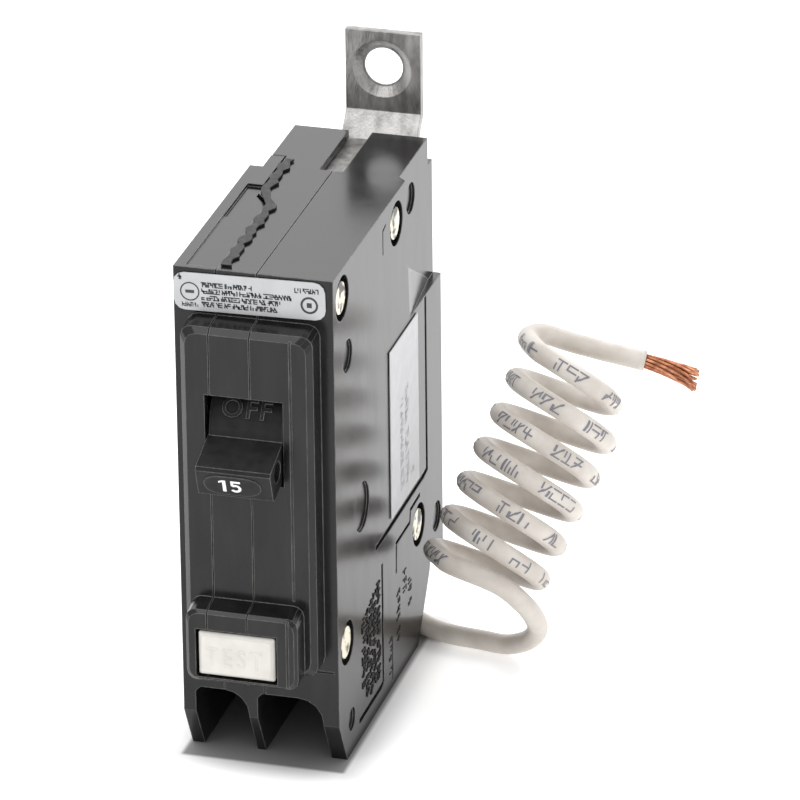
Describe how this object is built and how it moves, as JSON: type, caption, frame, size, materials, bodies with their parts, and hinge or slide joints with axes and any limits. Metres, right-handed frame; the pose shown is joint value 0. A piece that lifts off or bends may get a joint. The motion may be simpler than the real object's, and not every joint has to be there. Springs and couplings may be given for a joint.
{
  "type": "gfci breaker",
  "caption": "Single-pole ground-fault circuit breaker with toggle handle, test button, bolt-on line tab, screw terminals and coiled neutral pigtail.",
  "frame": {"origin": "centre of the base of the object's bounding box, measured without the pigtail, at the tips of the load-end fins", "axes": "+Z runs from the load end up to the line tab, -Y is the front with the handle and test button, +X is the right-hand side that the pigtail leaves from"},
  "size_m": [0.0666, 0.0803, 0.0994],
  "materials": {
    "moulded_black": "glossy black moulded thermoset",
    "moulded_grey": "matt black epoxy",
    "button_white": "satin off-white plastic",
    "label_silver": "silver-white printed film",
    "label_white": "white printed sticker",
    "nickel": "nickel plated, satin",
    "tinned": "dull tin-plated copper",
    "steel": "zinc plated steel",
    "copper": "bare copper",
    "silver": "silver alloy",
    "brass": "plain brass",
    "fibre": "vulcanised fibre",
    "board_green": "solder-masked glass epoxy",
    "enamel": "enamelled copper winding",
    "film_blue": "blue dipped film",
    "disc_orange": "orange epoxy dip",
    "wire_white": "satin white PVC insulation",
    "sealant": "dull black sealant"
  },
  "bodies": {
    "case": {"left_cover": "moulded_black", "center_case": "moulded_black", "right_base": "moulded_black", "front_label": "label_silver", "side_label": "label_white", "sealant_bead": "sealant", "rivet_line_front": "nickel", "rivet_line_rear": "nickel", "rivet_load_rear": "nickel", "rivet_load_front": "nickel", "handle_pin": "steel", "arm_pivot_pin": "steel", "arc_plate_1": "steel", "arc_plate_2": "steel", "arc_plate_3": "steel", "cradle_pin": "steel", "toggle_spring": "steel", "magnet_yoke": "steel", "solenoid_frame": "steel", "plunger_spring": "steel", "load_strap": "copper", "flexible_braid": "copper", "copper_strands": "copper", "test_blade_bracket": "brass", "bimetal_strip": "brass", "calibration_screw": "brass", "line_terminal": "tinned", "hot_terminal_lug": "tinned", "neutral_terminal_lug": "tinned", "stationary_contact": "silver", "arc_chute_board": "fibre", "circuit_board": "board_green", "sense_toroid": "enamel", "neutral_toroid": "enamel", "solenoid_coil": "enamel", "filter_capacitor": "film_blue", "surge_varistor": "disc_orange", "test_resistor": "disc_orange", "control_chip": "moulded_grey", "scr_switch": "moulded_grey", "pigtail_lead": "wire_white", "pigtail_coil": "wire_white", "pigtail_end": "wire_white"},
    "handle": {"handle": "moulded_black"},
    "contact_arm": {"moving_contact_arm": "copper", "moving_contact_tip": "silver"},
    "button": {"test_button": "button_white", "test_button_spring": "steel"},
    "test_blade": {"test_contact_blade": "copper"},
    "cradle": {"trip_cradle": "steel"},
    "armature": {"armature": "steel"},
    "plunger": {"solenoid_plunger": "steel"},
    "hot_clamp": {"hot_clamp_plate": "steel"},
    "hot_screw": {"hot_terminal_screw": "steel"},
    "neutral_clamp": {"neutral_clamp_plate": "steel"},
    "neutral_screw": {"neutral_terminal_screw": "steel"}
  },
  "joints": [
    {"name": "handle_hinge", "type": "hinge", "parent": "case", "child": "handle", "pos_m": [-0.00013, -0.02204, 0.0576], "axis": [-1, 0, 0], "range_deg": [0, 38]},
    {"name": "contact_arm_hinge", "type": "hinge", "parent": "case", "child": "contact_arm", "pos_m": [0.00507, 0.00356, 0.042], "axis": [-1, 0, 0], "range_deg": [0, 22]},
    {"name": "test_button_slide", "type": "slide", "parent": "case", "child": "button", "axis": [0, 1, 0], "range_m": [0, 0.002], "stiffness_N_per_m": 300, "springref_m": -0.001},
    {"name": "test_blade_hinge", "type": "hinge", "parent": "case", "child": "test_blade", "pos_m": [-0.00413, -0.02224, 0.0332], "axis": [1, 0, 0], "range_deg": [0, 17]},
    {"name": "trip_cradle_hinge", "type": "hinge", "parent": "case", "child": "cradle", "pos_m": [0.00237, -0.01544, 0.038], "axis": [-1, 0, 0], "range_deg": [0, 11]},
    {"name": "plunger_slide", "type": "slide", "parent": "case", "child": "plunger", "axis": [0, 1, 0], "range_m": [0, 0.0013], "stiffness_N_per_m": 250, "springref_m": -0.001},
    {"name": "armature_hinge", "type": "hinge", "parent": "case", "child": "armature", "pos_m": [0.00577, 0.02026, 0.044], "axis": [1, 0, 0], "range_deg": [0, 6]},
    {"name": "hot_clamp_slide", "type": "slide", "parent": "case", "child": "hot_clamp", "axis": [0, 1, 0], "range_m": [0, 0.004]},
    {"name": "hot_screw_hinge", "type": "hinge", "parent": "hot_clamp", "child": "hot_screw", "pos_m": [0.00498, -0.00394, 0.0072], "axis": [0, 1, 0], "range_deg": [0, 1800]},
    {"name": "neutral_clamp_slide", "type": "slide", "parent": "case", "child": "neutral_clamp", "axis": [0, 1, 0], "range_m": [0, 0.004]},
    {"name": "neutral_screw_hinge", "type": "hinge", "parent": "neutral_clamp", "child": "neutral_screw", "pos_m": [-0.00647, -0.00394, 0.0072], "axis": [0, 1, 0], "range_deg": [0, 1800]}
  ],
  "couplings": [
    {"joint": "contact_arm_hinge", "follows": "handle_hinge", "ratio": 0.5789},
    {"joint": "test_blade_hinge", "follows": "test_button_slide", "rad_per_m": 146},
    {"joint": "armature_hinge", "follows": "plunger_slide", "rad_per_m": 76},
    {"joint": "hot_screw_hinge", "follows": "hot_clamp_slide", "rad_per_m": 7854},
    {"joint": "neutral_screw_hinge", "follows": "neutral_clamp_slide", "rad_per_m": 7854}
  ]
}
